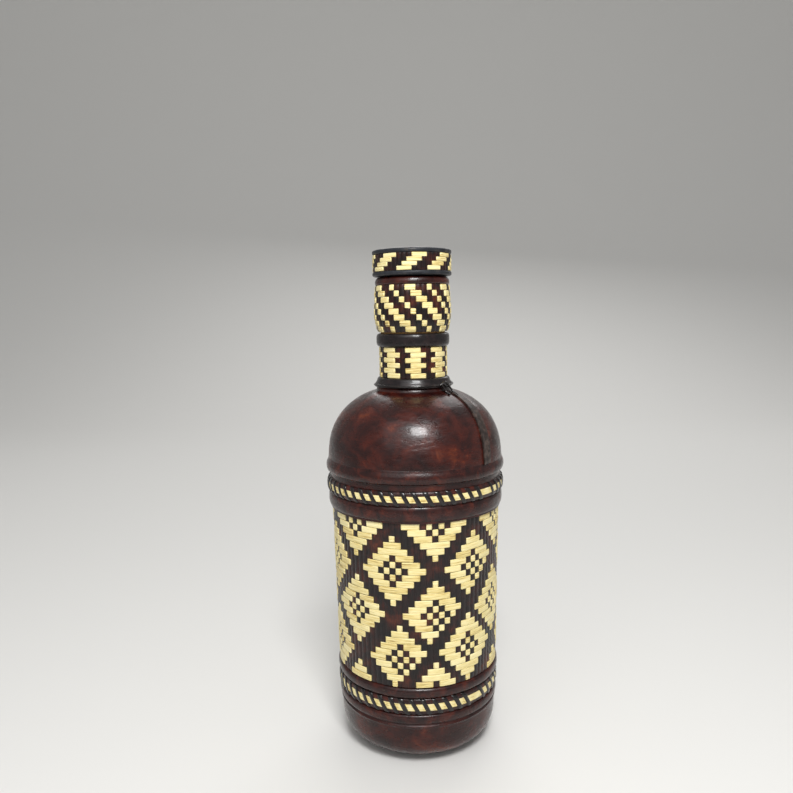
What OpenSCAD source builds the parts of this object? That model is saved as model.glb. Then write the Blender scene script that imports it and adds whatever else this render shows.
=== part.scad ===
// Leather-covered water bottle with woven straw panels and a pull-out stopper.
// Millimetres, +Z up. The origin is the centre of the foot, on the table.
// The front of the bottle faces -Y. Azimuths are counted from the front, to the right.

/* [Body] */
// Width of the foot wall, across the bottle
base_d = 89; // [86:0.5:90]
// Height of the rounded foot, from the table to where its wall is upright
base_round_h = 24; // [18:1:26]
// Height at which the woven body panel starts
panel_z = 46.6; // [46.6:0.1:50]
// Height of one straw row of the body panel
panel_row_h = 3.454; // [3.2:0.01:3.46]
// Width across the panel at its bottom edge
panel_bottom_d = 91.6; // [91.4:0.2:92]
// Width across the panel at its top edge
panel_top_d = 95; // [94:0.2:95.2]
// Widest place of the domed shoulder
dome_d = 98.4; // [97:0.2:99]
// Height of the dome above its springing line
dome_h = 42.7; // [38:0.1:44]

/* [Neck] */
// Width of the mouth's bore
mouth_d = 25.6; // [24:0.2:27]
// Width of the shell's neck, under the woven band
neck_d = 36; // [34:0.5:36]
// Widest place of the barrel-shaped collar
collar_d = 43.4; // [42:0.2:44]
// Height of the flat top of the mouth rim
rim_z = 264; // [263.5:0.1:266]

/* [Weave] */
// Leather strips round the body panel
panel_cells = 90; // [84:1:96]
// Straw rows of the body panel
panel_rows = 26; // [14:1:26]
// Straw and leather cells across one diamond repeat
diamond_repeat = 14; // [14:2:18]
// Half-width of a straw diamond, in cells
diamond_reach = 5; // [3:1:6]
// Azimuth of the diamond column next to the front, in degrees
diamond_azimuth = 12.4; // [0:0.2:28]
// Strips round the collar
collar_cells = 42; // [35:7:49]
// Strips round the neck band
neck_cells = 40; // [35:5:45]
// Straw thickness
straw_t = 0.5; // [0.3:0.05:0.6]
// Thickness of the leather strips
strip_t = 0.7; // [0.5:0.05:0.8]

/* [Edging] */
// Lace turns round the upper edging
upper_laces = 52; // [40:1:56]
// Lace turns round the lower edging
lower_laces = 48; // [36:1:52]
// Slant of each lace turn, in degrees
lace_slant = 27; // [0:1:30]
// Azimuth of the side seam at the shoulder, in degrees
seam_azimuth = 48; // [40:1:60]

/* [Stopper] */
// Width of the stopper's woven rim
stopper_d = 44; // [42:0.5:46]
// Height of the woven band round the stopper
stopper_band_h = 9.2; // [7:0.2:11]
// Length of the peg below the mouth rim
peg_l = 17; // [12:0.5:24]
// Width of the peg at its tip
peg_tip_d = 16; // [12:0.5:16.5]
// Height of the stopper above its seat
stopper_lift = 0; // [0:1:60]

/* [Hidden] */
$fn = 96;
leather_t = 1.6;
shell_t = 4;
base_r = base_d / 2;
base_power = 3.7;
foot_end = 0.98;
zone_low_r = 44.4;
zone_high_r = 48.2;
panel_h = panel_rows * panel_row_h;
panel_top_z = panel_z + panel_h;
panel_slope = (panel_top_d - panel_bottom_d) / 2 / panel_h;
dome_r = dome_d / 2;
dome_z = 160.5;
dome_power = 2.5;
dome_start_z = 164.6;
neck_r = neck_d / 2;
mouth_r = mouth_d / 2;
neck_foot_z = 203.4;
cover_top_r = 24.2;
neck_band_z = 208.6;
neck_rows = 6;
neck_row_h = 2.8;
neck_bead_z = 225.4;
neck_bead_h = 7.6;
collar_z = 233.6;
collar_mid_z = 243.4;
collar_rows = 8;
collar_row_h = 3.2;
collar_top_z = collar_z + collar_rows * collar_row_h;
collar_r = collar_d / 2;
collar_upper_arc = 140;
collar_lower_arc = 24;
base_bead_z = 28.4;
base_bead_h = 5;
base_bead_r = 45.7;
panel_lower_roll_z = 43.4;
panel_lower_roll_h = 5.8;
panel_lower_roll_r = 46.4;
panel_upper_roll_z = 141.4;
panel_upper_roll_h = 7.8;
panel_upper_roll_r = 49.3;
shoulder_roll_z = 160.6;
shoulder_roll_h = 8;
shoulder_roll_r = 50.1;
lower_edging_z = 35.6;
lower_edging_h = 9;
lower_edging_r = 45.6;
upper_edging_z = 149.5;
upper_edging_h = 8;
upper_edging_r = 49.6;
lace_t = 0.5;
lace_gap = 0.45;
lace_end_gap = 0.5;
splint_t = 0.3;
cell_gap = 0.2;
row_gap = 0.18;
glue_gap = 0.08;
stopper_rows = 4;
stopper_cells = 48;
stopper_r = stopper_d / 2;
stopper_core_r = stopper_r - strip_t - straw_t;
stopper_edge_h = 2.6;
stopper_face_t = 1.2;
stopper_top_t = 1.6;
stopper_step_r = 10.2;

// Height of the turning outline of a rounded end: 0 at its widest place, 1 at its tip
function rounded(t, power) = pow(max(0, 1 - pow(t, power)), 1 / power);

// Outline points of the rounded foot, drawn in by a wall thickness, from the table upwards
function foot_points(inset, bottom, steps) = concat(
    [[0.9 * (base_r - inset) * rounded(foot_end, base_power), bottom]],
    [
        for (i = [steps:-1:0])
            let (t = foot_end * sin(90 * i / steps))
            [(base_r - inset) * rounded(t, base_power), base_round_h - (base_round_h - bottom) * t]
    ]
);

// Outline points of the dome, drawn in by a wall thickness, from its springing up to the neck
function dome_z_at(inset, r) =
    dome_z + (dome_h - inset) * rounded(r / (dome_r - inset), dome_power);
function dome_points(inset, start_z, end_r, steps) =
    let (start_r = (dome_r - inset) * rounded((start_z - dome_z) / (dome_h - inset), dome_power))
    [
        for (i = [0:steps])
            let (r = end_r + (start_r - end_r) * cos(90 * i / steps))
            [r, dome_z_at(inset, r)]
    ];

// Outside radius of the woven panel's straw, strips and core at a height
function panel_r(z) = panel_bottom_d / 2 + panel_slope * (z - panel_z);
function panel_core_r(z) = panel_r(z) - straw_t - strip_t;

// A cell of the body panel is straw or leather by its distance from the nearest diamond centre
function wrapped(v, period) = v - period * round(v / period);
function steps_from(c, r, offset) =
    abs(wrapped(c - offset, diamond_repeat)) + abs(wrapped(r - offset, diamond_repeat));
function diamond_steps(c, r) = min(steps_from(c, r, 0), steps_from(c, r, diamond_repeat / 2));
function panel_is_straw(c, r) =
    let (d = diamond_steps(c, r)) d <= diamond_reach && d != 0 && d != 2;

// The collar's stripes fall one cell to the right with each row, a wide and a narrow one in turn
function collar_is_straw(c, r) =
    let (s = (c - r + 70) % 7) s == 0 || s == 1 || s == 4;

// The neck band has upright groups of three cells, pushed one cell aside in every other row
function neck_is_straw(c, r) = (c - (r % 2) + 5) % 5 < 3;

// The stopper's band has slanting groups of three cells in every sixth of its round
function stopper_is_straw(c, r) = (c - r + 60) % 6 < 3;

// Runs of straw in one row, as [first cell, number of cells]
function run_starts(cells) = [for (i = [0:len(cells) - 1]) if (cells[i] && (i == 0 || !cells[i - 1])) i];
function run_ends(cells) =
    [for (i = [0:len(cells) - 1]) if (cells[i] && (i == len(cells) - 1 || !cells[i + 1])) i];
function runs(cells) =
    let (a = run_starts(cells), b = run_ends(cells)) [for (k = [0:1:len(a) - 1]) [a[k], b[k] - a[k] + 1]];

// A piece of a turned section, between two azimuths
module arc_piece(azimuth, sweep) {
    rotate([0, 0, azimuth - 90]) rotate_extrude(angle = sweep) children();
}

// A half-round leather roll that lies on a wall of radius r_in and stands out to r_out
module roll_section(r_in, z, h, r_out) {
    proud = r_out - r_in;
    rho = (h * h / 4 + proud * proud) / (2 * proud);
    intersection() {
        translate([r_out - rho, z]) circle(r = rho);
        translate([r_in, z - h]) square([rho, 2 * h]);
    }
}

module roll(r_in, z, h, r_out) {
    rotate_extrude() roll_section(r_in, z, h, r_out);
}

// The arc layer of a roll's surface, for what lies on it
module roll_skin(r_in, z, h, r_out, gap, t, half_angle) {
    proud = r_out - r_in;
    rho = (h * h / 4 + proud * proud) / (2 * proud);
    rotate_extrude()
        intersection() {
            translate([r_out - rho, z])
                difference() {
                    circle(r = rho + gap + t);
                    circle(r = rho + gap);
                }
            translate([r_out - rho, z])
                polygon([[0, 0], [2 * rho, -2 * rho * tan(half_angle)], [2 * rho, 2 * rho * tan(half_angle)]]);
        }
}

// Slanting lace turns over a roll; one turn is left out where the seam crosses it
module lace_turns(count, r_in, z, h, r_out, width, first_azimuth) {
    proud = r_out - r_in;
    rho = (h * h / 4 + proud * proud) / (2 * proud);
    lace_r = rho + lace_gap;
    half_angle = acos((r_in + lace_end_gap - (r_out - rho)) / lace_r);
    for (i = [1:count - 1])
        rotate([0, 0, first_azimuth - 90 + i * 360 / count])
            translate([r_out - rho, 0, z])
            rotate([lace_slant, 0, 0])
            rotate([90, 0, 0])
            rotate([0, 0, -half_angle])
            translate([0, 0, -width / 2])
            rotate_extrude(angle = 2 * half_angle) translate([lace_r, 0]) square([lace_t, width]);
}

// Sections of the woven layers, between two heights
module panel_layer(z0, z1, off, t) {
    polygon([
        [panel_core_r(z0) + off, z0], [panel_core_r(z0) + off + t, z0],
        [panel_core_r(z1) + off + t, z1], [panel_core_r(z1) + off, z1]
    ]);
}

module upright_layer(r, z0, z1, t) {
    translate([r, z0]) square([t, z1 - z0]);
}

module collar_arc(z0, z1, r, arc) {
    intersection() {
        translate([r - arc, collar_mid_z]) circle(r = arc, $fn = 400);
        translate([neck_r, z0]) square([collar_r, z1 - z0]);
    }
}

module collar_solid(z0, z1, inset) {
    r = collar_r - inset;
    if (z1 > collar_mid_z) collar_arc(max(z0, collar_mid_z), z1, r, collar_upper_arc - inset);
    if (z0 < collar_mid_z) collar_arc(z0, min(z1, collar_mid_z), r, collar_lower_arc - inset);
}

module collar_layer(z0, z1, inset, t) {
    difference() {
        collar_solid(z0, z1, inset - t);
        collar_solid(z0 - 1, z1 + 1, inset);
    }
}

// Leather strips standing side by side round a woven band
module strips_round(count, first_azimuth, r) {
    gap = cell_gap / r * 180 / PI;
    pitch = 360 / count;
    for (i = [0:count - 1])
        arc_piece(first_azimuth + i * pitch + gap / 2, pitch - gap) children();
}

// The hollow gourd shell that holds the water
module gourd_shell() {
    color("#b88a52")
        rotate_extrude()
        difference() {
            polygon(concat(
                [[0, leather_t]],
                foot_points(leather_t, leather_t, 10),
                [
                    [base_r - leather_t, panel_z - 0.1],
                    [panel_core_r(panel_z), panel_z],
                    [panel_core_r(panel_top_z), panel_top_z],
                    [zone_high_r - leather_t, panel_top_z + 0.1],
                    [zone_high_r - leather_t, dome_start_z - 1]
                ],
                dome_points(leather_t, dome_start_z + 1, neck_r, 14),
                [[neck_r, rim_z - leather_t], [0, rim_z - leather_t]]
            ));
            polygon(concat(
                [[0, leather_t + shell_t]],
                foot_points(leather_t + shell_t, leather_t + shell_t, 10),
                [
                    [panel_core_r(panel_z) - shell_t, panel_z],
                    [panel_core_r(panel_top_z) - shell_t, panel_top_z]
                ],
                dome_points(leather_t + shell_t, dome_start_z, mouth_r, 14),
                [[mouth_r, rim_z], [0, rim_z]]
            ));
        }
}

// Leather cup over the foot, with the thin ridge of its fold
module base_cover() {
    color("#2a1110")
        rotate_extrude()
        difference() {
            union() {
                polygon(concat(
                    [[0, 0]],
                    foot_points(0, 0, 12),
                    [[zone_low_r, base_round_h + 1.5], [zone_low_r, panel_z - 0.1], [0, panel_z - 0.1]]
                ));
                translate([base_r - 0.3, base_round_h]) circle(r = 0.7, $fn = 24);
            }
            polygon(concat(
                [[0, leather_t]],
                foot_points(leather_t, leather_t, 10),
                [[base_r - leather_t, panel_z], [0, panel_z]]
            ));
        }
}

// Glossy leather bead between the foot and the lower edging
module base_bead() {
    color("#2c0f10") roll(zone_low_r, base_bead_z, base_bead_h, base_bead_r);
}

// Lower edging: a leather roll, a straw splint laid on it and the lace that whips it down
module lower_edging_core() {
    color("#3a1512") roll(zone_low_r, lower_edging_z, lower_edging_h, lower_edging_r);
}

module lower_edging_splint() {
    color("#ead98f")
        roll_skin(zone_low_r, lower_edging_z, lower_edging_h, lower_edging_r, 0, splint_t, 12);
}

module lower_edging_lace() {
    color("#17100f")
        lace_turns(
            lower_laces, zone_low_r, lower_edging_z, lower_edging_h, lower_edging_r, 2.5, seam_azimuth - 4
        );
}

// Leather roll that holds the lower edge of the woven panel
module panel_lower_roll() {
    color("#4a1f17") roll(zone_low_r, panel_lower_roll_z, panel_lower_roll_h, panel_lower_roll_r);
}

// Upright leather strips, the warp of the body panel
module panel_strips() {
    color("#2b1211")
        strips_round(panel_cells, diamond_azimuth - 180 / panel_cells, panel_bottom_d / 2)
        panel_layer(panel_z, panel_top_z, 0, strip_t);
}

// Straw splints, the weft of the body panel: each run that lies over the strips
module panel_straw() {
    pitch = 360 / panel_cells;
    gap = cell_gap / panel_bottom_d * 360 / PI;
    first_cell = floor((seam_azimuth - diamond_azimuth) / pitch) + 1 - panel_cells;
    color("#ead98f")
        for (row = [0:panel_rows - 1]) {
            top = panel_top_z - row * panel_row_h;
            cells = [for (k = [0:panel_cells - 1]) panel_is_straw(first_cell + k, row)];
            for (run = runs(cells))
                arc_piece(
                    diamond_azimuth + (first_cell + run[0] - 0.5) * pitch + gap / 2,
                    run[1] * pitch - gap
                )
                panel_layer(top - panel_row_h + row_gap / 2, top - row_gap / 2, strip_t, straw_t);
        }
}

// Leather roll that holds the upper edge of the woven panel
module panel_upper_roll() {
    color("#451a14") roll(zone_high_r, panel_upper_roll_z, panel_upper_roll_h, panel_upper_roll_r);
}

// Upper edging, made as the lower one
module upper_edging_core() {
    color("#3a1512") roll(zone_high_r, upper_edging_z, upper_edging_h, upper_edging_r);
}

module upper_edging_splint() {
    color("#ead98f")
        roll_skin(zone_high_r, upper_edging_z, upper_edging_h, upper_edging_r, 0, splint_t, 15);
}

module upper_edging_lace() {
    color("#17100f")
        lace_turns(
            upper_laces, zone_high_r, upper_edging_z, upper_edging_h, upper_edging_r, 2.5, seam_azimuth + 1
        );
}

// Bold roll where the dome meets the body
module shoulder_roll() {
    color("#4a1f17") roll(zone_high_r, shoulder_roll_z, shoulder_roll_h, shoulder_roll_r);
}

// Domed leather cover, with the skirt that runs under the rolls and the edging
module shoulder_cover() {
    color("#47190f")
        rotate_extrude()
        difference() {
            polygon(concat(
                [[0, panel_top_z + 0.1], [zone_high_r, panel_top_z + 0.1], [zone_high_r, dome_start_z]],
                dome_points(0, dome_start_z, cover_top_r, 18),
                [[cover_top_r - 1.4, neck_foot_z - 1.2], [cover_top_r - 2.2, neck_foot_z], [0, neck_foot_z]]
            ));
            polygon(concat(
                [
                    [0, panel_top_z],
                    [zone_high_r - leather_t, panel_top_z],
                    [zone_high_r - leather_t, dome_start_z - 1]
                ],
                dome_points(leather_t, dome_start_z + 1, neck_r, 14),
                [[neck_r, rim_z], [0, rim_z]]
            ));
        }
}

// Lapped edge of the dome's leather, a flat strip from the neck to the shoulder roll
module side_seam() {
    seam_t = 0.9;
    seam_w = 3.2;
    color("#3c2622")
        intersection() {
            rotate_extrude()
                difference() {
                    polygon(concat(
                        [[cover_top_r, dome_start_z + 0.2]],
                        dome_points(-seam_t, dome_start_z + 0.2, cover_top_r, 14)
                    ));
                    polygon(concat(
                        [[0, dome_start_z]],
                        dome_points(0, dome_start_z, cover_top_r, 18),
                        [[0, dome_z_at(0, cover_top_r)]]
                    ));
                }
            rotate([0, 0, seam_azimuth + 3 - 90])
                translate([cover_top_r, -seam_w / 2, dome_start_z - 1])
                cube([40, seam_w, 60]);
        }
}

// Leather ring at the foot of the neck, which swells from its top edge down to its lip
module neck_foot_ring() {
    ring_h = 5;
    ring_r = 21.9;
    color("#241314")
        rotate_extrude()
        translate([0, neck_foot_z])
        polygon([
            [neck_r, 0], [ring_r - 0.5, 0], [ring_r, 0.6], [ring_r - 0.2, 1.6], [ring_r - 1.4, 3.2],
            [neck_r + 1.5, ring_h - 0.3], [neck_r + 1, ring_h], [neck_r, ring_h]
        ]);
}

// Tied lace round the foot of the neck, with its knot and two short ends
module neck_lacing() {
    knot_azimuth = 61.5;
    lace_r = 0.75;
    tie_r = 21.9 + lace_r;
    color("#1c1414") {
        rotate_extrude() translate([tie_r, neck_foot_z + 0.8]) circle(r = lace_r, $fn = 24);
        rotate([0, 0, knot_azimuth - 90]) translate([tie_r + 1.1, 0, neck_foot_z + 0.9]) {
            sphere(r = 1.7, $fn = 32);
            rotate([0, 108, 30]) cylinder(h = 6.5, r = lace_r, $fn = 24);
            rotate([0, 66, -35]) cylinder(h = 5.5, r = lace_r, $fn = 24);
        }
    }
}

// Woven band round the neck
module neck_strips() {
    color("#1d1112")
        strips_round(neck_cells, -58.8, neck_r + strip_t)
        upright_layer(neck_r, neck_band_z, neck_band_z + neck_rows * neck_row_h, strip_t);
}

module neck_straw() {
    pitch = 360 / neck_cells;
    gap = cell_gap / (neck_r + strip_t) * 180 / PI;
    color("#ead98f")
        for (row = [0:neck_rows - 1]) {
            top = neck_band_z + (neck_rows - row) * neck_row_h;
            cells = [for (k = [0:neck_cells - 1]) neck_is_straw(k, row)];
            for (run = runs(cells))
                arc_piece(-58.8 + run[0] * pitch + gap / 2, run[1] * pitch - gap)
                upright_layer(
                    neck_r + strip_t, top - neck_row_h + row_gap / 2, top - row_gap / 2, straw_t
                );
        }
}

// Smooth leather bead between the neck band and the collar
module neck_bead() {
    flat_r = 20.4;
    round_r = 1.15;
    color("#1b1213")
        rotate_extrude() {
            for (z = [neck_bead_z + round_r, neck_bead_z + neck_bead_h - round_r])
                translate([flat_r - round_r, z]) circle(r = round_r, $fn = 32);
            translate([neck_r, neck_bead_z + 0.001]) square([flat_r - round_r - neck_r, neck_bead_h - 0.002]);
            translate([neck_r, neck_bead_z + round_r]) square([flat_r - neck_r, neck_bead_h - 2 * round_r]);
        }
}

// Turned ring that gives the collar its barrel shape
module collar_core() {
    color("#9a7443")
        rotate_extrude()
        collar_solid(collar_z - 0.5, collar_top_z, straw_t + strip_t + glue_gap);
}

module collar_strips() {
    color("#2a1413")
        strips_round(collar_cells, 0, collar_r)
        collar_layer(collar_z, collar_top_z, straw_t + strip_t, strip_t);
}

module collar_straw() {
    pitch = 360 / collar_cells;
    gap = cell_gap / collar_r * 180 / PI;
    color("#ead98f")
        for (row = [0:collar_rows - 1]) {
            top = collar_top_z - row * collar_row_h;
            cells = [for (k = [0:collar_cells - 1]) collar_is_straw(k, row)];
            for (run = runs(cells))
                arc_piece(run[0] * pitch + gap / 2, run[1] * pitch - gap)
                collar_layer(top - collar_row_h + row_gap / 2, top - row_gap / 2, straw_t, straw_t);
        }
}

// Leather lip folded over the mouth, which the stopper rests on
module mouth_rim() {
    side_z = collar_top_z + 0.1;
    lip_r = 20.7;
    corner = 2.4;
    color("#3b1a15")
        rotate_extrude() {
            translate([mouth_r, rim_z - leather_t]) square([lip_r - corner - mouth_r, leather_t]);
            translate([neck_r, side_z]) square([lip_r - neck_r, rim_z - corner - side_z]);
            intersection() {
                translate([lip_r - corner, rim_z - corner]) circle(r = corner);
                translate([neck_r, rim_z - corner]) square([corner * 2, corner * 2]);
            }
        }
}

// The stopper stands in its own frame: z = 0 is the face that rests on the rim
module in_mouth() {
    translate([0, 0, rim_z + stopper_lift]) children();
}

// Turned wooden plug: the peg, the step round its root and the disc that the leather covers
module stopper_plug() {
    root_r = 8.7;
    step_z = -2.8;
    core_top = stopper_edge_h + stopper_band_h + 0.6;
    color("#d9b679")
        in_mouth() {
            translate([0, 0, -peg_l]) cylinder(h = peg_l + step_z, r1 = peg_tip_d / 2, r2 = root_r);
            translate([0, 0, step_z]) cylinder(h = stopper_face_t - step_z, r = stopper_step_r);
            translate([0, 0, stopper_face_t])
                cylinder(h = core_top - stopper_face_t, r = stopper_core_r);
        }
}

// Worn leather washer that enters the mouth
module stopper_washer() {
    washer_t = 1.5;
    washer_w = 2.2;
    color("#6d4c33")
        in_mouth()
        rotate_extrude() translate([stopper_step_r, -washer_t]) square([washer_w, washer_t]);
}

// Flat leather facing of the underside
module stopper_underside() {
    color("#3c3d42")
        in_mouth()
        rotate_extrude()
        translate([stopper_step_r, 0]) square([stopper_core_r - stopper_step_r, stopper_face_t]);
}

module stopper_edge(z, up) {
    in_mouth()
        rotate_extrude()
        translate([stopper_core_r, z])
        intersection() {
            translate([0, up ? 0 : stopper_edge_h]) circle(r = stopper_edge_h);
            square([stopper_r - stopper_core_r + 0.2, stopper_edge_h]);
        }
}

// Rolled leather edges below and above the woven band
module stopper_lower_edge() {
    color("#26282e") stopper_edge(0, false);
}

module stopper_upper_edge() {
    color("#26282e") stopper_edge(stopper_edge_h + stopper_band_h, true);
}

module stopper_strips() {
    color("#17171a")
        in_mouth()
        strips_round(stopper_cells, 0, stopper_core_r + strip_t)
        upright_layer(stopper_core_r, stopper_edge_h, stopper_edge_h + stopper_band_h, strip_t);
}

module stopper_straw() {
    pitch = 360 / stopper_cells;
    row_h = stopper_band_h / stopper_rows;
    gap = cell_gap / stopper_core_r * 180 / PI;
    color("#ead98f")
        in_mouth()
        for (row = [0:stopper_rows - 1]) {
            z0 = stopper_edge_h + row * row_h;
            cells = [for (k = [0:stopper_cells - 1]) stopper_is_straw(k, row)];
            for (run = runs(cells))
                arc_piece(run[0] * pitch + gap / 2, run[1] * pitch - gap)
                upright_layer(stopper_core_r + strip_t, z0 + row_gap / 2, z0 + row_h - row_gap / 2, straw_t);
        }
}

// Slightly domed leather top
module stopper_top() {
    side_z = stopper_edge_h + stopper_band_h + 0.6;
    crown = 2;
    rho = (stopper_core_r * stopper_core_r + crown * crown) / (2 * crown);
    color("#2b2326")
        in_mouth()
        rotate_extrude()
        intersection() {
            union() {
                translate([0, side_z]) square([stopper_core_r, stopper_top_t]);
                translate([0, side_z + stopper_top_t + crown - rho]) circle(r = rho, $fn = 400);
            }
            translate([0, side_z]) square([stopper_core_r, stopper_top_t + crown + 1]);
        }
}

gourd_shell();
base_cover();
base_bead();
lower_edging_core();
lower_edging_splint();
lower_edging_lace();
panel_lower_roll();
panel_strips();
panel_straw();
panel_upper_roll();
upper_edging_core();
upper_edging_splint();
upper_edging_lace();
shoulder_roll();
shoulder_cover();
side_seam();
neck_foot_ring();
neck_lacing();
neck_strips();
neck_straw();
neck_bead();
collar_core();
collar_strips();
collar_straw();
mouth_rim();
stopper_plug();
stopper_washer();
stopper_underside();
stopper_lower_edge();
stopper_strips();
stopper_straw();
stopper_upper_edge();
stopper_top();
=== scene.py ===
# %% [markdown]
# A leather-covered water bottle with woven straw panels and a wooden stopper.
# The construction is loaded as a fixed frame. Every piece made here rides on one of its two bodies.

# %% Load the frame
import math
import random
import bpy
from mathutils import Matrix, Vector


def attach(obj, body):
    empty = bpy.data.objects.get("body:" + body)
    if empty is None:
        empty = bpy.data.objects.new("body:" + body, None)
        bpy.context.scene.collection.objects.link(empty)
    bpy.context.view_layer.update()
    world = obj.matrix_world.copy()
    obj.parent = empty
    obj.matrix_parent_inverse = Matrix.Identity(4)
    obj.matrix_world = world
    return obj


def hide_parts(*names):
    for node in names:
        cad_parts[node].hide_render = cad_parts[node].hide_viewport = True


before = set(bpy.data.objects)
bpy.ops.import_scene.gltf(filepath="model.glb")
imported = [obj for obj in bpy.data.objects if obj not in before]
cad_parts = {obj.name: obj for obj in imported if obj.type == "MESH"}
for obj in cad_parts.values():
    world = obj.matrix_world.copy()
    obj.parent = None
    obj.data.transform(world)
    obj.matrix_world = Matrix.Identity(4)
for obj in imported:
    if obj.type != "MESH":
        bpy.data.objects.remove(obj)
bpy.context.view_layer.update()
random.seed(11)
MM = 0.001
print("CAD nodes:", len(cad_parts))

# %% [markdown]
# The camera stands where the picture was taken from: level with the collar, looking down by six and a
# half degrees. Its place was worked out from the rings of the bottle in the picture.

# %% Camera
IMAGE_SIDE = 793
FOCAL_PX = 725.8
CAMERA_AT = Vector((0.0, -0.4096, 0.2436))
PITCH, YAW, ROLL = (math.radians(a) for a in (6.50, -1.37, -1.02))


def camera_turn():
    ahead = Vector((math.sin(YAW) * math.cos(PITCH), math.cos(YAW) * math.cos(PITCH), -math.sin(PITCH)))
    right = Vector((math.cos(YAW), -math.sin(YAW), 0))
    up = right.cross(ahead)
    x = right * math.cos(ROLL) + up * math.sin(ROLL)
    y = up * math.cos(ROLL) - right * math.sin(ROLL)
    return Matrix((x, y, -ahead)).transposed()


camera = bpy.data.objects.new("camera", bpy.data.cameras.new("camera"))
bpy.context.collection.objects.link(camera)
camera.data.sensor_width = 36
camera.data.lens = FOCAL_PX / IMAGE_SIDE * 36
camera.matrix_world = Matrix.Translation(CAMERA_AT) @ camera_turn().to_4x4()
bpy.context.scene.camera = camera
print("camera at", tuple(CAMERA_AT), "with a lens of", round(camera.data.lens, 1), "mm")

# %% [markdown]
# A small soft lamp above the camera gives the bright patch on the dome. Two broad ones, in front and
# behind, light the walls and lay a soft gleam along the rolls. The world fills the rest evenly and
# stays weak, because a bright one would veil the dark leather.

# %% Lights and world
scene = bpy.context.scene
scene.view_settings.view_transform = "Standard"
world = bpy.data.worlds.new("studio")
scene.world = world
world.use_nodes = True
world.node_tree.nodes["Background"].inputs["Color"].default_value = (1, 1, 1, 1)
world.node_tree.nodes["Background"].inputs["Strength"].default_value = 0.4


def soft_lamp(name, at, towards, side, watts):
    lamp = bpy.data.objects.new(name, bpy.data.lights.new(name, "AREA"))
    lamp.data.size = side
    lamp.data.energy = watts
    lamp.location = at
    lamp.rotation_euler = (Vector(towards) - Vector(at)).to_track_quat("-Z", "Y").to_euler()
    bpy.context.collection.objects.link(lamp)
    print(name, watts, "W")


soft_lamp("key_lamp", (0.07, -0.52, 0.70), (0, 0, 0.15), 0.22, 5.4)
soft_lamp("front_lamp", (-0.3, -1.5, 1.6), (0, 0.2, 0.12), 2.2, 13)
soft_lamp("back_lamp", (0.2, 1.2, 1.3), (0, 0, 0.12), 1.4, 12)

# %% [markdown]
# Materials share a few helpers. One turns a hex colour into linear light, one adds a node with its
# settings and links, and one starts a material with its shader. The others make what most of them
# need: a noise in real millimetres, a blend of two noises, a ramp of colours, bumps and roughness.

# %% Material helpers


def colour(hex_code):
    parts = [int(hex_code[i:i + 2], 16) / 255 for i in (1, 3, 5)]
    return tuple(p / 12.92 if p < 0.04045 else ((p + 0.055) / 1.055) ** 2.4 for p in parts) + (1,)


def add(material, kind, settings=None, **links):
    node = material.node_tree.nodes.new("ShaderNode" + kind)
    for key, value in (settings or {}).items():
        if key in node.inputs:
            node.inputs[key].default_value = value
        else:
            setattr(node, key, value)
    for key, source in links.items():
        socket = node.inputs[int(key[1:])] if key[0] == "i" and key[1:].isdigit() else node.inputs[key]
        material.node_tree.links.new(source, socket)
    return node


def new_material(name, **settings):
    material = bpy.data.materials.new(name)
    material.use_nodes = True
    shader = material.node_tree.nodes["Principled BSDF"]
    for key, value in settings.items():
        shader.inputs[key.replace("_", " ")].default_value = value
    print("material", name)
    return material, shader


def set_colour(material, shader, factor, stops):
    """stops: (place on the ramp, hex colour), from low to high."""
    node = add(material, "ValToRGB", Fac=factor)
    elements = node.color_ramp.elements
    for element, (place, hex_code) in zip(elements, (stops[0], stops[-1])):
        element.position = place
        element.color = colour(hex_code)
    for place, hex_code in stops[1:-1]:
        elements.new(place).color = colour(hex_code)
    material.node_tree.links.new(node.outputs["Color"], shader.inputs["Base Color"])


def object_noise(material, stretch, detail=3, roughness=0.55, distortion=0.0):
    place = add(material, "TexCoord").outputs["Object"]
    mapping = add(material, "Mapping", {"Scale": stretch}, Vector=place)
    settings = {"Scale": 1.0, "Detail": detail, "Roughness": roughness, "Distortion": distortion}
    return add(material, "TexNoise", settings, Vector=mapping.outputs[0]).outputs["Fac"]


def every(x_mm, y_mm=None, z_mm=None):
    """Scale of a noise that repeats about every so many millimetres."""
    return tuple(1 / (mm * MM) for mm in (x_mm, y_mm or x_mm, z_mm or x_mm))


def weighted(material, factor, weight, base):
    node = add(material, "Math", {"operation": "MULTIPLY_ADD"}, i0=factor, i2=base)
    node.inputs[1].default_value = weight
    return node.outputs[0]


def join_bumps(material, shader, layers):
    normal = None
    for height, distance in layers:
        bump = add(material, "Bump", {"Strength": 1.0, "Distance": distance * MM}, Height=height)
        if normal:
            material.node_tree.links.new(normal, bump.inputs["Normal"])
        normal = bump.outputs["Normal"]
    material.node_tree.links.new(normal, shader.inputs["Normal"])


def set_roughness(material, shader, factor, low, high):
    settings = {"From Min": 0.3, "From Max": 0.7, "To Min": low, "To Max": high}
    spread = add(material, "MapRange", settings, Value=factor)
    material.node_tree.links.new(spread.outputs["Result"], shader.inputs["Roughness"])


# %% [markdown]
# The leather is goatskin that was dyed, stretched on wet and glazed with wax. The dye pools in some
# places and is rubbed to orange brown in others, so a broad noise mixes several browns. A finer one
# gives the grain, and a stretched one the pull marks that wet leather keeps. The other leathers of the
# bottle are the same skin with other dyes and other wear, so one function makes them all.

# %% Leather


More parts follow.
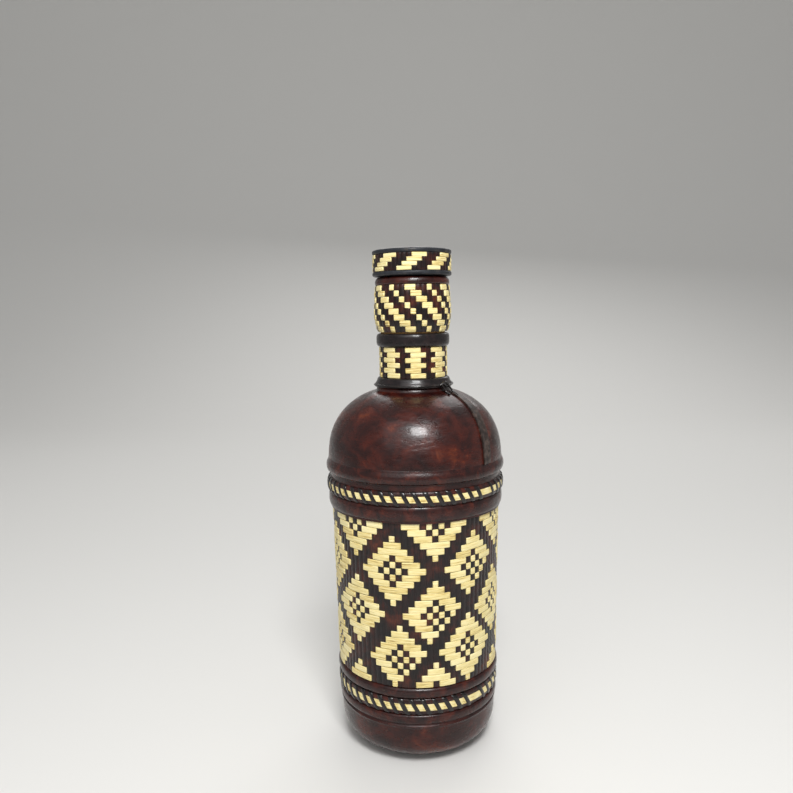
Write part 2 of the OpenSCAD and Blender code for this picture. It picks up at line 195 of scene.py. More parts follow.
def leather(name, stops, gloss, mottle_mm=9, coat=0.25, grain=0.05, wrinkle=0.16):
    material, shader = new_material(name, Coat_Weight=coat, Coat_Roughness=0.12, Specular_IOR_Level=0.28)
    broad = object_noise(material, every(mottle_mm), detail=6, roughness=0.65, distortion=0.6)
    fine = object_noise(material, every(0.55), detail=2)
    pulled = object_noise(material, every(5, 5, 1.8), detail=5, distortion=0.4)
    set_colour(material, shader, broad, stops)
    set_roughness(material, shader, pulled, gloss, gloss + 0.22)
    join_bumps(material, shader, [(pulled, wrinkle), (fine, grain)])
    return material


glazed_leather = leather(
    "glazed_goatskin",
    [(0.34, "#170808"), (0.47, "#290d0a"), (0.6, "#40160e"), (0.7, "#5e2a15"), (0.82, "#8a4c20")], 0.2,
    mottle_mm=15, wrinkle=0.26,
)
roll_leather = leather(
    "waxed_roll_leather", [(0.32, "#130707"), (0.5, "#2b0f0c"), (0.68, "#4a1d12")], 0.2, mottle_mm=6,
)
black_leather = leather(
    "black_dyed_leather", [(0.35, "#0b0809"), (0.55, "#1a1213"), (0.75, "#2b1c1a")], 0.22, mottle_mm=4,
)
lace_leather = leather(
    "waxed_lace", [(0.35, "#090707"), (0.6, "#171010"), (0.8, "#2a1a16")], 0.18, mottle_mm=3, coat=0.5,
)
charcoal_leather = leather(
    "rubbed_charcoal_leather", [(0.3, "#15171b"), (0.55, "#26282d"), (0.75, "#4a4238")], 0.36, mottle_mm=5,
    coat=0.1,
)
seam_leather = leather(
    "dull_lapped_leather", [(0.3, "#130e0d"), (0.5, "#2e2420"), (0.68, "#5a4a42")], 0.36, mottle_mm=3,
    coat=0.08, grain=0.12, wrinkle=0.3,
)
worn_leather = leather(
    "worn_flesh_leather", [(0.3, "#3b2a1d"), (0.5, "#6b4c31"), (0.7, "#a27f52")], 0.6, mottle_mm=2.5,
    coat=0, grain=0.12, wrinkle=0.25,
)

# %% [markdown]
# The warp strips are cut from the same skin, with the grain running up the bottle. They are nearly
# black, with red-brown patches where hands have rubbed them.

# %% Strip leather


def strip_leather():
    material, shader = new_material(
        "warp_strip_leather", Coat_Weight=0.25, Coat_Roughness=0.15, Specular_IOR_Level=0.28)
    broad = object_noise(material, every(9), detail=4, roughness=0.6)
    upright = object_noise(material, every(0.5, 0.5, 9), detail=3)
    set_colour(material, shader, weighted(material, upright, 0.35, broad), [
        (0.5, "#090607"), (0.66, "#180b0a"), (0.78, "#35140d"), (0.92, "#5a2812")])
    set_roughness(material, shader, upright, 0.24, 0.42)
    join_bumps(material, shader, [(upright, 0.12)])
    return material


warp_leather = strip_leather()

# %% [markdown]
# The weft is split straw: flat ribbons with a satin skin and fine fibres along them. The fibres lie
# round the bottle, so the noise is squeezed in height. Each ribbon also has its own tone, written on
# its mesh as it is laid.

# %% Straw


def split_straw():
    material, shader = new_material("split_straw", Coat_Weight=0.12, Coat_Roughness=0.3, IOR=1.48)
    fibre = object_noise(material, every(9, 9, 0.45), detail=3, roughness=0.6)
    tone = add(material, "Attribute", {"attribute_name": "tone"}).outputs["Fac"]
    set_colour(material, shader, weighted(material, tone, 0.3, fibre), [
        (0.4, "#8f6f34"), (0.5, "#cdb46c"), (0.62, "#e2d08f"), (0.85, "#efe3b0")])
    set_roughness(material, shader, fibre, 0.38, 0.55)
    join_bumps(material, shader, [(fibre, 0.2)])
    return material


straw = split_straw()

# %% [markdown]
# The peg and the inner walls are turned wood. Rings and rays come from a wave that is bent by noise,
# and a fine upright noise gives the pores.

# %% Wood
WAVE_PERIOD = 0.31  # metres between two bands of a wave texture at scale 1


def turned_wood(name, dark, mid, pale, ring_mm):
    material, shader = new_material(name, Roughness=0.62, IOR=1.5)
    place = add(material, "TexCoord").outputs["Object"]
    mapping = add(material, "Mapping", {"Scale": (1, 1, 0.12), "Rotation": (0.15, 0.3, 0.4)}, Vector=place)
    settings = {"Scale": WAVE_PERIOD / (ring_mm * MM), "Distortion": 7.0, "Detail": 5.0, "Detail Scale": 2.0}
    wave = add(material, "TexWave", settings, Vector=mapping.outputs[0])
    pores = object_noise(material, every(0.4, 0.4, 4), detail=4)
    blend = weighted(material, pores, 1.6, wave.outputs["Fac"])
    set_colour(material, shader, blend, [(0.5, dark), (1.05 / 1.6, mid), (1.0, pale)])
    join_bumps(material, shader, [(wave.outputs["Fac"], 0.03), (pores, 0.22)])
    return material


peg_wood = turned_wood("chipped_peg_wood", "#8a5a26", "#cf9d57", "#e8c388", 1.6)
inner_wood = turned_wood("dried_gourd_rind", "#5c3b1c", "#8e6433", "#a97f48", 3)

# %% [markdown]
# Round leather pieces are spun: an outline is drawn from the axis outwards, turned round in edit mode,
# and closed. A displacement by soft noise then makes each one as uneven as stretched leather is.

# %% Spinning tools
TURN_STEPS = 200


def round_point(azimuth, r, z):
    """azimuth: degrees from the front, to the right."""
    a = math.radians(azimuth - 90)
    return (r * math.cos(a), r * math.sin(a), z)


def in_metres(points):
    return [tuple(c * MM for c in p) for p in points]


def deselect():
    if bpy.context.object and bpy.context.object.mode != "OBJECT":
        bpy.ops.object.mode_set(mode="OBJECT")
    bpy.ops.object.select_all(action="DESELECT")


def make_active(piece):
    deselect()
    piece.select_set(True)
    bpy.context.view_layer.objects.active = piece


def new_piece(name, points, edges=(), faces=()):
    mesh = bpy.data.meshes.new(name)
    mesh.from_pydata([Vector(p) for p in points], edges, faces)
    piece = bpy.data.objects.new(name, mesh)
    bpy.context.collection.objects.link(piece)
    make_active(piece)
    return piece


def spin(name, outline, steps=TURN_STEPS):
    """outline: closed loop of (radius, height) in mm."""
    points = [(r * MM, 0, z * MM) for r, z in outline]
    count = len(points)
    piece = new_piece(name, points, [(i, (i + 1) % count) for i in range(count)])
    bpy.ops.object.mode_set(mode="EDIT")
    bpy.ops.mesh.select_all(action="SELECT")
    bpy.ops.mesh.spin(steps=steps, angle=2 * math.pi, center=(0, 0, 0), axis=(0, 0, 1))
    bpy.ops.mesh.select_all(action="SELECT")
    bpy.ops.mesh.remove_doubles(threshold=1e-6)
    bpy.ops.mesh.normals_make_consistent(inside=False)
    bpy.ops.object.mode_set(mode="OBJECT")
    return piece


def uneven(piece, size_mm, height_mm):
    texture = bpy.data.textures.new(piece.name + "_unevenness", "CLOUDS")
    texture.noise_scale = size_mm * MM
    texture.noise_depth = 2
    modifier = piece.modifiers.new("unevenness", "DISPLACE")
    modifier.texture = texture
    modifier.texture_coords = "LOCAL"
    modifier.strength = 2 * height_mm * MM
    modifier.mid_level = 0.5
    make_active(piece)
    bpy.ops.object.modifier_apply(modifier=modifier.name)


def finish_piece(piece, body, material, nodes, angle=50):
    make_active(piece)
    piece.data.materials.clear()
    piece.data.materials.append(material)
    bpy.ops.object.shade_smooth_by_angle(angle=math.radians(angle))
    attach(piece, body)
    if nodes:
        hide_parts(*nodes)
    print(piece.name, len(piece.data.polygons), "faces")


def half_round(r_in, z, h, r_out, count=18, power=2.4):
    """Outline of a leather roll: flat against the wall, full and round outside."""
    points = []
    for i in range(count + 1):
        a = math.pi * i / count - math.pi / 2
        c, s = math.cos(a), math.sin(a)
        points.append((
            r_in + (r_out - r_in) * abs(c) ** (2 / power),
            z + h / 2 * math.copysign(abs(s) ** (2 / power), s),
        ))
    return points


# %% [markdown]
# The floor is a plain pale sheet that bends up behind the bottle, so no edge shows in the picture.

# %% Floor
FLOOR_FRONT, FLOOR_BACK, BEND_R, WALL_TOP, HALF_WIDTH = -4.0, 1.1, 1.2, 4.0, 5
bend = [math.radians(a) for a in range(5, 91, 5)]
sheet = [(FLOOR_FRONT, 0.0), (FLOOR_BACK, 0.0)]
sheet += [(FLOOR_BACK + BEND_R * math.sin(a), BEND_R - BEND_R * math.cos(a)) for a in bend]
sheet += [(FLOOR_BACK + BEND_R, WALL_TOP)]
floor = new_piece(
    "floor", [(x, y, z) for y, z in sheet for x in (-HALF_WIDTH, HALF_WIDTH)],
    faces=[(2 * i, 2 * i + 1, 2 * i + 3, 2 * i + 2) for i in range(len(sheet) - 1)],
)
bpy.ops.object.shade_smooth()
floor_material, floor_shader = new_material("pale_paper", Roughness=0.9)
floor_shader.inputs["Base Color"].default_value = colour("#d6d5d2")
floor.data.materials.append(floor_material)

# %% [markdown]
# The rolls round the body are strips of leather folded over a cord and glued down. They have a full,
# round section, and here and there a pull mark.

# %% Leather rolls


def leather_roll(name, node, h, r_in, z, r_out):
    piece = spin(name, half_round(r_in, z, h, r_out))
    uneven(piece, 14, 0.16)
    finish_piece(piece, "bottle", roll_leather, [node])


WALL_LOW_R, WALL_HIGH_R = 44.2, 48.0
leather_roll("foot_bead", "base_bead", 5.0, WALL_LOW_R, 28.4, 45.7)
leather_roll("lower_binding_roll", "panel_lower_roll", 5.8, WALL_LOW_R, 43.4, 46.4)
leather_roll("upper_binding_roll", "panel_upper_roll", 7.8, WALL_HIGH_R, 141.4, 49.3)

# %% [markdown]
# The shoulder roll is the boldest. Its upper edge ends in a small lip, where the dome's leather is
# folded over it, and the light draws a bright line along both. Its outline has too many different
# bends for one formula, so its points are given from the bottom to the top.

# %% Shoulder roll
shoulder = spin("shoulder_lip_roll", [
    (WALL_HIGH_R, 156.7), (48.6, 156.6), (49.3, 156.9), (49.9, 157.6), (50.25, 158.5), (50.4, 159.5),
    (50.38, 160.5), (50.2, 161.4), (49.9, 162.2), (49.55, 162.9), (49.35, 163.4), (49.3, 163.9),
    (49.0, 164.4), (48.4, 165.0), (47.6, 165.0), (47.0, 163.0), (47.4, 160.0),
])
uneven(shoulder, 16, 0.15)
finish_piece(shoulder, "bottle", roll_leather, ["shoulder_roll"], angle=60)

# %% [markdown]
# The dome is one piece of wet-moulded leather. Its outline is a superellipse, which is fuller than a
# circle. It has low broad dents and ends in a lip round the neck's foot.

# %% Dome cover
DOME_Z, DOME_H, DOME_R, DOME_POWER = 160.5, 42.7, 49.2, 2.5
DOME_START_Z, DOME_END_R = 164.0, 21.0
SLEEVE_R, COVER_T = 48.2, 1.4


def dome_z_at(r, inset=0.0):
    t = min(1.0, r / (DOME_R - inset))
    return DOME_Z + (DOME_H - inset) * (1 - t ** DOME_POWER) ** (1 / DOME_POWER)


def dome_line(inset, count=44):
    rise = (DOME_START_Z - DOME_Z) / (DOME_H - inset)
    start = (DOME_R - inset) * (1 - rise ** DOME_POWER) ** (1 / DOME_POWER)
    points = []
    for i in range(count + 1):
        r = DOME_END_R + (start - DOME_END_R) * math.cos(math.pi / 2 * i / count)
        points.append((r, dome_z_at(r, inset)))
    return points


outer = [(SLEEVE_R, z) for z in (136.5, 140, 146, 152, 157, 161)] + dome_line(0)
lip = [(20.6, 203.0), (20.0, 203.4), (19.0, 203.5)]
inner = [(19.2, 201.6)] + dome_line(COVER_T)[::-1] + [(SLEEVE_R - COVER_T, z) for z in (161, 148, 136.5)]
dome = spin("moulded_dome_cover", outer + lip + inner)
uneven(dome, 26, 0.3)
uneven(dome, 9, 0.07)
finish_piece(dome, "bottle", glazed_leather, ["shoulder_cover"], angle=60)

# %% [markdown]
# The foot is a leather cup, moulded over the rounded bottom. A thin ridge runs round it where the
# cup's edge was folded, and it stands on a flat in the middle. Near the table the unevenness fades out,
# because the leather is pressed flat there.

# %% Foot cover
BASE_R, BASE_H, BASE_POWER, FOOT_END = 44.5, 24.0, 3.7, 0.98
PRESSED_H = 9


def foot_line(inset, bottom, count=24):
    points = [(0.001, bottom), (10, bottom)]
    for i in range(count, -1, -1):
        t = FOOT_END * math.sin(math.pi / 2 * i / count)
        r = (BASE_R - inset) * (1 - t ** BASE_POWER) ** (1 / BASE_POWER)
        if i == count:
            points.append((0.9 * r, bottom))
        points.append((r, BASE_H - (BASE_H - bottom) * t))
    return points


ridge = [(44.5, 23.4), (44.9, 23.7), (45.15, 24.1), (44.95, 24.6), (44.5, 24.9), (44.4, 26), (44.4, 36)]
foot = spin("moulded_foot_cup", foot_line(0, 0)[:-1] + ridge + [(44.4, 46.5), (43, 46.5), (43, 26)]
            + foot_line(1.5, 1.5)[::-1])
moulded = [v.co.copy() for v in foot.data.vertices]
uneven(foot, 22, 0.18)
for vertex, smooth in zip(foot.data.vertices, moulded):
    share = min(1.0, smooth.z / (PRESSED_H * MM))
    vertex.co = smooth.lerp(vertex.co, share)
finish_piece(foot, "bottle", glazed_leather, ["base_cover"], angle=60)

# %% [markdown]
# Both edgings are the same work: a roll, a straw splint along it and a black lace that whips it down.
# The lace leans to the right as it comes down, and one turn is missing where it starts and ends. Every
# turn is a short tube over the roll, and all turns are joined to one piece.

# %% Edging tools


def tube_faces(rings, sides=6):
    """Faces of a closed tube whose rings follow each other in the list of points."""
    faces = []
    for i in range(rings - 1):
        for k in range(sides):
            a, b = i * sides + k, i * sides + (k + 1) % sides
            faces.append((a, b, b + sides, a + sides))
    faces.append(tuple(range(sides))[::-1])
    faces.append(tuple(range((rings - 1) * sides, rings * sides)))
    return faces


def write_tone(piece, values):
    tone = piece.data.attributes.new("tone", "FLOAT", "POINT")
    tone.data.foreach_set("value", values)


def joined(name, parts, tones=None):
    """One piece from many small closed shapes, each with its own tone."""
    points, faces, values = [], [], []
    for index, (part_points, part_faces) in enumerate(parts):
        start = len(points)
        points += in_metres(part_points)
        faces += [tuple(v + start for v in face) for face in part_faces]
        values += [tones[index] if tones else 0.5] * len(part_points)
    piece = new_piece(name, points, faces=faces)
    write_tone(piece, values)
    bpy.ops.object.mode_set(mode="EDIT")
    bpy.ops.mesh.select_all(action="SELECT")
    bpy.ops.mesh.normals_make_consistent(inside=False)
    bpy.ops.object.mode_set(mode="OBJECT")
    return piece


def wrap_turn(azimuth, z_mid, section, width, lean, thick):
    """A lace turn over a roll: section is a list of (radius, height) from top to bottom."""
    points = []
    for r, z in section:
        shift = (z_mid - z) * math.tan(math.radians(lean))
        for side, out in (
            (-1, thick * 0.25), (-0.55, thick), (0.55, thick), (1, thick * 0.25), (1, -0.3), (-1, -0.3),
        ):
            turn = math.degrees((shift + side * width / 2) / r)
            points.append(round_point(azimuth + turn, r + out, z))
    return points, tube_faces(len(section))


# %% Edgings


SPLINT_HALF = 2.05
LACE_W, LACE_T, LACE_LEAN = 2.65, 0.45, 28


def edging(name, z, h, r_in, r_out, turns, seam_azimuth):
    outline = half_round(r_in, z, h, r_out)
    core = spin(name + "_core_roll", outline)
    uneven(core, 12, 0.1)
    finish_piece(core, "bottle", roll_leather, [name + "_core"])
    band = [(r + 0.12, w) for r, w in outline if abs(w - z) < SPLINT_HALF]
    back = [(r - 0.5, w) for r, w in band[::-1]]
    splint = spin(name + "_straw_splint", band + back)
    write_tone(splint, [0.5 + 0.3 * math.sin(1.2 * v.co.x / MM) for v in splint.data.vertices])
    finish_piece(splint, "bottle", straw, [name + "_splint"])
    section = [(r + 0.1, w) for r, w in outline[::-1] if r > r_in + 0.3]
    parts = []
    for i in range(1, turns):
        azimuth = seam_azimuth + 360 * i / turns + math.degrees(random.uniform(-0.004, 0.004))
        width = LACE_W + random.uniform(-0.25, 0.2)
        lean = LACE_LEAN + random.uniform(-3, 3)
        parts.append(wrap_turn(azimuth, z, section, width, lean, LACE_T))
    lace = joined(name + "_whipping_lace", parts)
    finish_piece(lace, "bottle", lace_leather, [name + "_lace"])


edging("lower_edging", 35.6, 9.0, WALL_LOW_R, 45.6, 48, 43)
edging("upper_edging", 149.5, 8.0, WALL_HIGH_R, 49.6, 52, 49.5)

# %% [markdown]
# Each visible run of straw is a ribbon that crosses one or more strips. It is a little crowned, and at
# both ends it dives under the next strip. One function lays any run on a round wall, and another lays
# all runs of a band, each with its own tone and a slight tilt, as hand work has.

# %% Straw ribbon
STRAW_T, STRIP_T, TUCK = 0.5, 0.7, 0.45


def straw_ribbon(radius_at, azimuth_0, azimuth_1, z_mid, height, cells, tilt):
    """radius_at gives the ribbon's underside at a height."""
    span = azimuth_1 - azimuth_0
    tuck = min(math.degrees(TUCK / radius_at(z_mid)), span / 4)
    stops = [0, tuck] + [span * (i + 1) / (cells + 1) for i in range(cells)] + [span - tuck, span]
    across = ((-0.5, 0.12), (-0.42, 0.4), (0.0, STRAW_T), (0.42, 0.4), (0.5, 0.12))
    points = []
    for index, stop in enumerate(stops):
        end = index in (0, len(stops) - 1)
        for v, crown in across:
            z = z_mid + v * height * (0.92 if end else 1) + tilt * (stop / span - 0.5)
            r = radius_at(z) + (crown * 0.25 - 0.15 if end else crown)
            points.append(round_point(azimuth_0 + stop, r, z))
        points.append(round_point(azimuth_0 + stop, radius_at(z_mid) - 0.35, z_mid))
    return points, tube_faces(len(stops))


def runs_of(cells):
    """Runs of straw round a closed row, as (first cell, number of cells)."""
    count = len(cells)
    starts = [i for i in range(count) if cells[i] and not cells[i - 1]]
    return [(i, next(n for n in range(1, count) if not cells[(i + n) % count])) for i in starts]


def weave(name, node, body, rows, row_h, top_z, cells, first_azimuth, is_straw, radius_at):
    parts, tones = [], []
    pitch = 360 / cells
    for row in range(rows):
        row_tone = random.uniform(0.3, 0.7)
        for start, count in runs_of([is_straw(c, row) for c in range(cells)]):
            shake = random.uniform(-0.03, 0.03) * pitch
            parts.append(straw_ribbon(
                radius_at, first_azimuth + start * pitch + 0.03 * pitch + shake,
                first_azimuth + (start + count) * pitch - 0.03 * pitch + shake,
                top_z - (row + 0.5) * row_h + random.uniform(-0.06, 0.06),
                row_h * random.uniform(0.95, 1.0), count, random.uniform(-0.14, 0.14),
            ))
            tones.append(row_tone + random.uniform(-0.2, 0.3))
    piece = joined(name, parts, tones)
    finish_piece(piece, body, straw, [node], angle=40)


# %% [markdown]
# The warp strips stand side by side under and over the straw. Each one is crowned, and it swells
# wherever it comes over a straw and lies low where it goes under one.

# %% Warp strip


def warp(name, node, body, rows, row_h, top_z, cells, first_azimuth, is_straw, radius_at):
    parts = []
    pitch = 360 / cells
    across = ((0.0, 0.3), (0.12, 0.54), (0.5, 0.64), (0.88, 0.54), (1.0, 0.3))
    for cell in range(cells):
        points = []
        left = first_azimuth + cell * pitch
        for step in range(2 * rows + 1):
            z = top_z - step * row_h / 2
            row = min(step // 2, rows - 1)
            lift = (-0.05 if is_straw(cell, row) else 0.3) if step % 2 else 0.1
            base_r = radius_at(z) - STRIP_T
            points += [round_point(left + side * pitch, base_r + crown + lift, z) for side, crown in across]
            points.append(round_point(left + 0.5 * pitch, base_r - 0.3, z))
        parts.append((points, tube_faces(2 * rows + 1)))
    piece = joined(name, parts)
    finish_piece(piece, body, warp_leather, [node])


def woven(prefix, node_prefix, body, *pattern):
    """pattern: rows, row height, top, cells, first azimuth, the rule for straw, and the wall's radius."""
    warp(prefix + "_strips", node_prefix + "_strips", body, *pattern)
    weave(prefix + "_straw", node_prefix + "_straw", body, *pattern)


# %% [markdown]
# The body panel has diamonds whose centres stand on a lattice: seven cells aside and seven rows down.
# A few of them are the weaver's own slips: three diamonds are short at their lower right, and four
# stand a cell or a row off their place. They are kept, because the real panel has them. The pattern
# doesn't close round the bottle, and its break is at the back.

# %% Body panel
PANEL_CELLS, PANEL_ROWS, PANEL_ROW_H, PANEL_TOP_Z = 90, 26, 3.454, 136.4
PANEL_BOTTOM_R, PANEL_TOP_R = 45.8, 47.5
DIAMOND_AZIMUTH, DIAMOND_STEP, REACH = 12.4, 7, 5
PANEL_PITCH = 360 / PANEL_CELLS
FIRST_CELL = -PANEL_CELLS // 2
SHORT = {(7, 7), (0, 14), (-7, 21)}
MOVED = {(0, 28): (0, 27), (7, 21): (6, 20), (-7, 21): (-6, 21), (14, 14): (13, 14)}


def panel_r(z):
    """The wall is a little wider at the top."""
    t = (z - (PANEL_TOP_Z - PANEL_ROWS * PANEL_ROW_H)) / (PANEL_ROWS * PANEL_ROW_H)
    return PANEL_BOTTOM_R + (PANEL_TOP_R - PANEL_BOTTOM_R) * t - STRAW_T


def lattice():
    places = [(DIAMOND_STEP * column, DIAMOND_STEP * row)
              for column in range(-14, 15) for row in range(5) if (column + row) % 2 == 0]
    return [(MOVED.get(place, place), place in SHORT) for place in places]


DIAMONDS = lattice()


def in_diamond(c, r, centre, short):
    """Straw all over but for the lattice in the middle: its centre and the ring two cells round it."""
    dx, dy = c - centre[0], r - centre[1]
    d = abs(dx) + abs(dy)
    if d > REACH or d in (0, 2):
        return False
    return not (short and dy >= 0 and dx + dy > 3)


def panel_is_straw(cell, row):
    c = FIRST_CELL + cell
    return any(in_diamond(c, row, centre, short) for centre, short in DIAMONDS)


woven("body_panel", "panel", "bottle", PANEL_ROWS, PANEL_ROW_H, PANEL_TOP_Z, PANEL_CELLS,
      DIAMOND_AZIMUTH + (FIRST_CELL - 0.5) * PANEL_PITCH, panel_is_straw, panel_r)

# %% [markdown]
# Neck and collar are woven the same way, each with its own rule. The neck has upright bars with
# toothed sides, and the collar slanting stripes, a wide one and a narrow one in turn. The collar's
# wall is a barrel, so its ribbons follow two arcs.

# %% Neck band and collar
COLLAR_R, COLLAR_MID_Z, UPPER_ARC, LOWER_ARC = 21.7, 243.4, 140, 24
COLLAR_AZIMUTH, NECK_AZIMUTH, NECK_R = -11.7, -58.8, 18.7


def collar_r(z):
    arc = UPPER_ARC if z > COLLAR_MID_Z else LOWER_ARC
    return COLLAR_R - STRAW_T - (arc - math.sqrt(arc * arc - (z - COLLAR_MID_Z) ** 2))


def neck_is_straw(cell, row):
    return (cell - row % 2) % 5 < 3


def collar_is_straw(cell, row):
    return (cell - row) % 7 in (0, 1, 4)


woven("neck_band", "neck", "bottle", 6, 2.8, 225.4, 40, NECK_AZIMUTH, neck_is_straw, lambda z: NECK_R)
woven("collar_band", "collar", "bottle", 8, 3.2, 259.2, 42, COLLAR_AZIMUTH, collar_is_straw, collar_r)

# %% [markdown]
# The black strap below the collar and the ring at the neck's foot are thin skin over a cord. They are
# wrinkled, so the unevenness is stronger and finer here.

# %% Neck leather
strap = spin("neck_strap", half_round(18.0, 229.2, 7.4, 20.5, power=3.2))
uneven(strap, 7, 0.14)
finish_piece(strap, "bottle", black_leather, ["neck_bead"])

ring = spin("neck_foot_skirt", [
    (18.0, 203.3), (20.6, 203.2), (21.7, 203.3), (22.0, 203.8), (21.8, 204.6), (21.3, 205.4),
    (20.8, 206.1), (20.5, 206.8), (20.3, 207.5), (19.9, 208.1), (19.2, 208.5), (18.0, 208.5),
])
uneven(ring, 6, 0.14)
finish_piece(ring, "bottle", black_leather, ["neck_foot_ring"])

rim = spin("folded_mouth_lip", [
    (12.8, 262.2), (12.8, 263.4), (13.2, 263.85), (14, 264.0), (16, 264.0), (17.6, 263.95),
    (18.8, 263.7), (19.8, 263.1), (20.4, 262.3), (20.7, 261.3), (20.75, 260.4), (20.6, 259.6),
    (20.2, 259.35), (18.0, 259.35), (18.0, 262.2),
])
finish_piece(rim, "bottle", glazed_leather, ["mouth_rim"])

# %% [markdown]
# The lace round the neck is tied at the side seam. Curves with a round bevel are the simplest way to
# draw a tied lace, and they become meshes when their shape is right.

# %% Lace and knot


def bottle_lace(name, points, radius, closed=False, nodes=()):
    curve = bpy.data.curves.new(name, "CURVE")
    curve.dimensions = "3D"
    curve.bevel_depth = radius * MM
    curve.bevel_resolution = 3
    curve.use_fill_caps = True
    spline = curve.splines.new("NURBS")
    spline.points.add(len(points) - 1)
    for point, co in zip(spline.points, in_metres(points)):
        point.co = (*co, 1)
    spline.use_cyclic_u = closed
    spline.use_endpoint_u = not closed
    spline.order_u = 4
    spline.resolution_u = 6
    piece = bpy.data.objects.new(name, curve)
    bpy.context.collection.objects.link(piece)
    make_active(piece)
    bpy.ops.object.convert(target="MESH")
    finish_piece(bpy.context.object, "bottle", lace_leather, nodes)


KNOT_AZIMUTH, LACE_RING_R, LACE_RING_Z = 49, 22.2, 204.3


def on_dome(azimuth, r, above):
    return round_point(azimuth, r, dome_z_at(r) + above)


def on_ring(i):
    return round_point(i * 15, LACE_RING_R + 0.15 * math.sin(i * 2.1), LACE_RING_Z + 0.25 * math.sin(i))


bottle_lace("neck_tie_lace", [on_ring(i) for i in range(24)], 0.55, closed=True, nodes=["neck_lacing"])
bottle_lace("knot_loop", [round_point(KNOT_AZIMUTH + a, 22.6 + out, 205.0 + up) for a, out, up in (
    (-9, 0, -0.4), (-5, 0.6, 0.9), (0, 1.0, 1.5), (5, 0.6, 0.6), (4, 0.3, -1.0), (-1, 1.2, -0.9),
    (-6, 1.1, 0.2), (-1, 0.5, 1.4), (6, 0.9, -0.2), (9, 0.3, -1.0))], 0.6)
bottle_lace("knot_end_left", [
    round_point(42, 22.6, 205.6), round_point(43.5, 23.1, 204.2), round_point(45, 23.6, 202.6),
    on_dome(46, 24.4, 0.9), on_dome(46.5, 25.6, 0.7), on_dome(46.5, 27, 0.6)], 0.55)
bottle_lace("knot_end_right", [
    round_point(52, 22.8, 205.4), round_point(55, 23.4, 204.4), round_point(57.5, 24, 202.8),
    on_dome(58.5, 25, 0.9), on_dome(58.5, 26.6, 0.7), on_dome(58, 28.4, 0.6)], 0.5)

# %% [markdown]
# The dome's leather is lapped: one edge lies over the other from the knot down to the shoulder roll.
# It is a thin strip laid on the dome along a slanting line, with its left edge standing up.

# %% Lapped seam
SEAM_W, SEAM_TOP_R, SEAM_TOP_AZIMUTH, SEAM_SLANT = 7.5, 24, 55, 7.6
SEAM_START, SEAM_END = math.radians(23.5), math.radians(87.5)


def seam_strip():
    """The strip follows the dome's superellipse, from the knot down to the shoulder roll."""
    rows = 48
    heights = (0.95, 0.8, 0.5, 0.38, 0.34, 0.32, 0.28, 0.05)
    columns = len(heights) - 1
    points, faces = [], []
    for i in range(rows + 1):
        phi = SEAM_START + (SEAM_END - SEAM_START) * i / rows
        r = DOME_R * math.sin(phi) ** (2 / DOME_POWER)
        z = DOME_H * math.cos(phi) ** (2 / DOME_POWER)
        normal = Vector(((r / DOME_R) ** 1.5 / DOME_R, (z / DOME_H) ** 1.5 / DOME_H)).normalized()
        azimuth = SEAM_TOP_AZIMUTH - SEAM_SLANT * (r - SEAM_TOP_R) / (DOME_R - SEAM_TOP_R)
        for k, height in enumerate(heights):
            out = height * normal
            turn = math.degrees(k / columns * SEAM_W / r)
            points.append(round_point(azimuth + turn, r + out[0], DOME_Z + z + out[1]))
    top = len(points)
    points += [(x * 0.985, y * 0.985, z - 0.7) for x, y, z in points]
    wide = columns + 1
    for i in range(rows):
        for k in range(columns):
            a = i * wide + k
            faces.append((a, a + 1, a + wide + 1, a + wide))
            faces.append((top + a, top + a + wide, top + a + wide + 1, top + a + 1))
    border = list(range(columns)) + [i * wide + columns for i in range(rows)]
    border += [rows * wide + k for k in range(columns, 0, -1)] + [i * wide for i in range(rows, 0, -1)]
    for a, b in zip(border, border[1:] + border[:1]):
        faces.append((a, b, top + b, top + a))
    return points, faces


seam = joined("lapped_dome_seam", [seam_strip()])
uneven(seam, 8, 0.08)
finish_piece(seam, "bottle", seam_leather, ["side_seam"])

# %% [markdown]
# The stopper rests on the mouth. Its plug is turned from one piece of wood: a disc, a step and a peg
# with a chipped end. A worn leather washer sits round the step. Heights are counted from the rim.

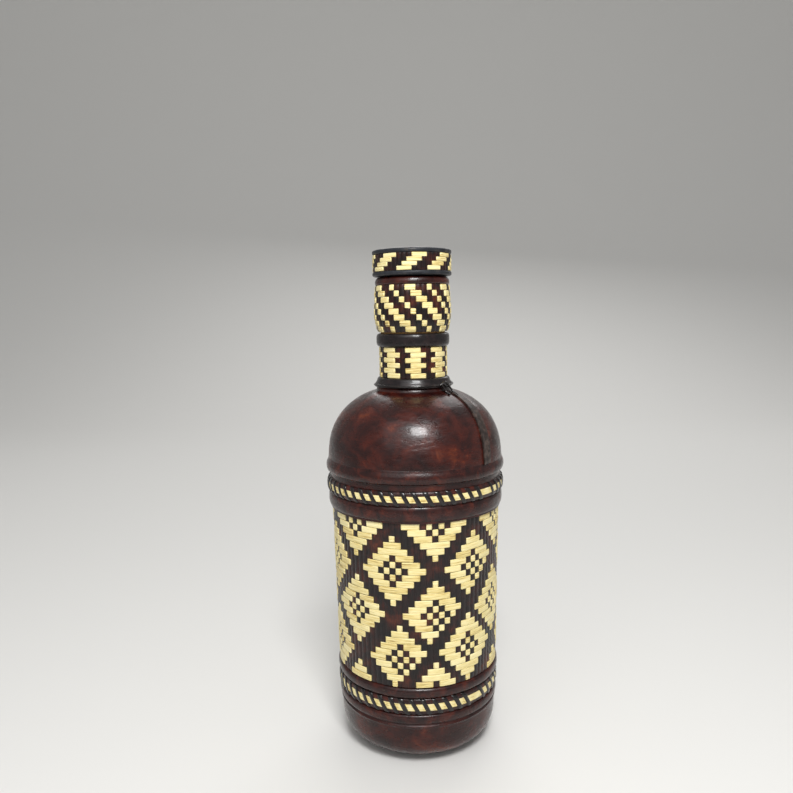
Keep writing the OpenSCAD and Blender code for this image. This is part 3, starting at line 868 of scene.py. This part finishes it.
# %% Stopper plug
RIM_Z = 264.0
plug = spin("turned_plug", [(r, RIM_Z + z) for r, z in (
    (0.001, -16.4), (3, -16.5), (5.5, -16.8), (7.2, -16.6), (7.8, -16.0), (8.0, -14.8), (8.15, -12),
    (8.35, -8), (8.5, -5), (8.6, -3.3), (9.0, -2.9), (9.8, -2.8), (10.15, -2.5), (10.2, -1.8),
    (10.2, 0.2), (20.7, 0.4), (20.7, 12.2), (0.001, 12.2))], steps=96)
uneven(plug, 3.2, 0.22)
for vertex in plug.data.vertices:
    if vertex.co.z < (RIM_Z - 15.2) * MM:
        chip = math.sin(vertex.co.x * 900) * math.cos(vertex.co.y * 700 + 1)
        vertex.co.z += 0.5 * MM * (0.5 + 0.5 * chip)
finish_piece(plug, "stopper", peg_wood, ["stopper_plug"], angle=35)

washer = spin("worn_washer", [(r, RIM_Z + z) for r, z in (
    (10.2, -1.3), (10.8, -1.5), (11.6, -1.45), (12.1, -1.15), (12.3, -0.6), (12.3, 0.2), (10.2, 0.2))])
uneven(washer, 3, 0.1)
finish_piece(washer, "stopper", worn_leather, ["stopper_washer"])

# %% [markdown]
# The stopper's rim has its own woven band between two rolled edges, with straw stripes that slant the
# other way. Its top is a disc of leather, domed a little.

# %% Stopper rim
def stopper_is_straw(cell, row):
    return (cell + row) % 6 < 3


woven("stopper_band", "stopper", "stopper", 4, 2.3, RIM_Z + 11.8, 48, 0, stopper_is_straw, lambda z: 21.5)


def rolled_edge(name, low, high, node):
    piece = spin(name, half_round(20.3, RIM_Z + (low + high) / 2, high - low, 22.0, power=2.8))
    uneven(piece, 6, 0.08)
    finish_piece(piece, "stopper", charcoal_leather, [node])


rolled_edge("stopper_lower_roll", 0.05, 2.6, "stopper_lower_edge")
rolled_edge("stopper_upper_roll", 11.8, 14.4, "stopper_upper_edge")
top_cover = spin("domed_top_leather", [(r, RIM_Z + z) for r, z in (
    (0.001, 12.3), (20.5, 12.3), (20.75, 13.2), (20.4, 14.0), (19.4, 14.3), (17, 14.75), (14, 15.2),
    (11, 15.5), (8, 15.75), (4, 15.9), (0.001, 15.95))])
uneven(top_cover, 9, 0.12)
for vertex in top_cover.data.vertices:
    vertex.co.z = min(vertex.co.z, (RIM_Z + 15.98) * MM)
finish_piece(top_cover, "stopper", black_leather, ["stopper_top"])

# %% [markdown]
# Three of the frame's own pieces stay, because they are hardly seen: the vessel, the collar's core and
# the stopper's underside. They get their finishes now.

# %% Finishes of the carried-over nodes
for name, material in (
    ("gourd_shell", inner_wood), ("collar_core", inner_wood), ("stopper_underside", charcoal_leather),
):
    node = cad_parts[name]
    node.data.materials.clear()
    node.data.materials.append(material)
